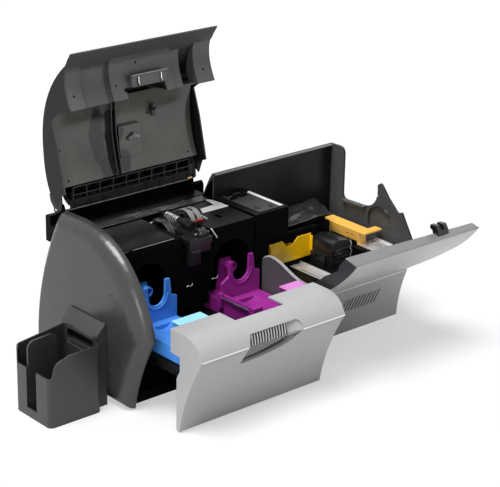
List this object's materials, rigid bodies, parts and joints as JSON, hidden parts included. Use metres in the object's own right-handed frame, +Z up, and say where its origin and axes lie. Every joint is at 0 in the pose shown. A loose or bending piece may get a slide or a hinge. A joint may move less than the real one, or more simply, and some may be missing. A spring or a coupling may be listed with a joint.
{
  "type": "id card printer",
  "caption": "Desktop identity card printer shown open, with a hinged top cover, a sliding ribbon drawer, a drop-down feeder flap and a lift-off card hopper.",
  "frame": {"origin": "underside of the centre foot, in the middle of the body's footprint", "axes": "+X along the front towards the card feeder, +Y to the back, +Z up"},
  "size_m": [0.7873, 0.4496, 0.5815],
  "materials": {
    "charcoal_moulding": "fine spark texture",
    "silver_moulding": "satin paint",
    "black_chassis": "matt moulding",
    "cover_lining": "satin moulding",
    "blue_moulding": "semi gloss",
    "magenta_moulding": "semi gloss",
    "amber_moulding": "semi gloss",
    "plated_sheet": "plated",
    "bright_steel": "drawn",
    "black_rubber": "matt",
    "white_ribbon": "matt",
    "grey_ribbon": "matt",
    "circuit_board": "solder mask"
  },
  "bodies": {
    "frame": {"base_pan": "black_chassis", "rubber_feet": "black_rubber", "left_end_cap": "charcoal_moulding", "cap_disc": "charcoal_moulding", "left_inner_plate": "black_chassis", "rear_shell": "charcoal_moulding", "hinge_block": "charcoal_moulding", "cover_hinge_pins": "bright_steel", "partition": "black_chassis", "ribbon_housing": "black_chassis", "shelf_plate": "black_chassis", "slide_channels": "plated_sheet", "front_panel": "silver_moulding", "body_shell": "charcoal_moulding", "feeder_deck": "black_chassis", "rail_plate_left": "plated_sheet", "rail_plate_right": "plated_sheet", "card_wall": "black_chassis", "card_guide": "amber_moulding", "feed_block": "black_chassis", "transfer_box": "black_chassis", "bracket_plate": "plated_sheet", "flat_cable": "white_ribbon", "flex_cables": "grey_ribbon", "encoder_block": "black_chassis", "power_inlet": "black_chassis", "data_ports": "plated_sheet", "main_board": "circuit_board", "power_supply": "plated_sheet", "drive_motor": "plated_sheet", "flap_hinge_pins": "bright_steel", "head_rod": "bright_steel", "lever_pin": "bright_steel"},
    "drawer": {"drawer_front": "silver_moulding", "drawer_frame": "black_chassis", "drawer_rails": "plated_sheet", "handle_grille": "silver_moulding", "drawer_cheek": "cover_lining", "blue_tray": "blue_moulding", "magenta_tray": "magenta_moulding", "guide_rod": "bright_steel"},
    "blue_spindle": {"blue_hub": "blue_moulding"},
    "magenta_spindle": {"magenta_hub": "magenta_moulding"},
    "cover": {"top_cover": "charcoal_moulding", "cover_liner": "cover_lining", "cover_latch_bar": "cover_lining", "cover_panel": "cover_lining", "cover_hook": "black_chassis", "cover_wing": "plated_sheet"},
    "flap": {"feeder_flap": "silver_moulding", "flap_cheek": "cover_lining", "flap_hook": "black_chassis"},
    "head": {"head_arm": "black_chassis", "head_spring": "bright_steel", "head_block": "black_chassis"},
    "weight": {"card_lever": "amber_moulding"},
    "roller_left": {"feed_roller_left": "black_rubber"},
    "roller_right": {"feed_roller_right": "black_rubber"},
    "rocker": {"power_rocker": "black_chassis"},
    "hopper": {"output_hopper": "charcoal_moulding"}
  },
  "joints": [
    {"name": "drawer_slide", "type": "slide", "parent": "frame", "child": "drawer", "axis": [0, 1, 0], "range_m": [0, 0.114]},
    {"name": "cover_hinge", "type": "hinge", "parent": "frame", "child": "cover", "pos_m": [-0.144, 0.1045, 0.291], "axis": [1, 0, 0], "range_deg": [0, 96.5]},
    {"name": "flap_hinge", "type": "hinge", "parent": "frame", "child": "flap", "pos_m": [0.173, -0.1435, 0.109], "axis": [-1, 0, 0], "range_deg": [0, 77]},
    {"name": "head_hinge", "type": "hinge", "parent": "frame", "child": "head", "pos_m": [-0.114, 0.0395, 0.248], "axis": [-1, 0, 0], "range_deg": [0, 3]},
    {"name": "weight_hinge", "type": "hinge", "parent": "frame", "child": "weight", "pos_m": [0.282, 0.0215, 0.162], "axis": [-1, 0, 0], "range_deg": [0, 25]},
    {"name": "blue_spindle_spin", "type": "hinge", "parent": "drawer", "child": "blue_spindle", "pos_m": [-0.23, -0.0605, 0.177], "axis": [0, 1, 0], "continuous": true},
    {"name": "magenta_spindle_spin", "type": "hinge", "parent": "drawer", "child": "magenta_spindle", "pos_m": [-0.042, -0.0605, 0.177], "axis": [0, 1, 0], "continuous": true},
    {"name": "roller_left_spin", "type": "hinge", "parent": "frame", "child": "roller_left", "pos_m": [0.066, -0.0745, 0.119], "axis": [0, 1, 0], "continuous": true},
    {"name": "roller_right_spin", "type": "hinge", "parent": "frame", "child": "roller_right", "pos_m": [0.1585, -0.0745, 0.119], "axis": [0, 1, 0], "continuous": true},
    {"name": "rocker_tilt", "type": "hinge", "parent": "frame", "child": "rocker", "pos_m": [-0.195, 0.1235, 0.05], "axis": [-1, 0, 0], "range_deg": [0, 16]},
    {"name": "hopper_lift", "type": "slide", "parent": "frame", "child": "hopper", "axis": [0, 0, 1], "range_m": [0, 0.06]}
  ],
  "couplings": [
    {"joint": "roller_right_spin", "follows": "roller_left_spin", "ratio": 1}
  ]
}
